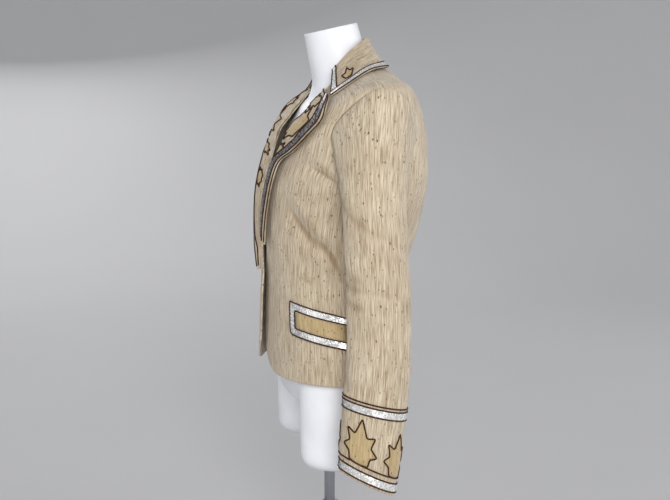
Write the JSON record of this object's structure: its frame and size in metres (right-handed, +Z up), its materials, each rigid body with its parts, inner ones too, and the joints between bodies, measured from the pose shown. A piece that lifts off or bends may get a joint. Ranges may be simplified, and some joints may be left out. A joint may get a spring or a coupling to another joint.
{
  "type": "embellished jacket on dress form",
  "caption": "Short fitted long-sleeved jacket with wide lapels, sequin bands and corded leaf motifs, worn by a limbless dress form on a pole stand.",
  "frame": {"origin": "on the floor, under the middle of the pole, at the underside of the base", "axes": "+Z up, -Y towards the front of the jacket, +X towards the left side of the wearer"},
  "size_m": [0.546, 0.309, 0.9823],
  "materials": {
    "tweed": "slubbed raw silk tweed, matt",
    "sequin_band": "rows of silver sequins between brown cords",
    "cord": "dark brown braided cord",
    "form_shell": "satin white",
    "steel": "brushed"
  },
  "bodies": {
    "root": {"collar": "tweed", "collar_band": "sequin_band", "front_left": "tweed", "back_left": "tweed", "sleeve_left": "tweed", "lapel_left": "tweed", "lapel_band_left": "sequin_band", "flap_left": "tweed", "flap_band_left": "sequin_band", "cuff_band_upper_left": "sequin_band", "cuff_band_lower_left": "sequin_band", "cuff_leaf_1_left": "cord", "cuff_leaf_2_left": "cord", "cuff_leaf_3_left": "cord", "cuff_leaf_4_left": "cord", "front_right": "tweed", "back_right": "tweed", "sleeve_right": "tweed", "lapel_right": "tweed", "lapel_band_right": "sequin_band", "flap_right": "tweed", "flap_band_right": "sequin_band", "cuff_band_upper_right": "sequin_band", "cuff_band_lower_right": "sequin_band", "cuff_leaf_1_right": "cord", "cuff_leaf_2_right": "cord", "cuff_leaf_3_right": "cord", "cuff_leaf_4_right": "cord", "dress_form": "form_shell", "pole": "steel", "pole_clamp": "steel", "base": "steel"}
  },
  "joints": []
}
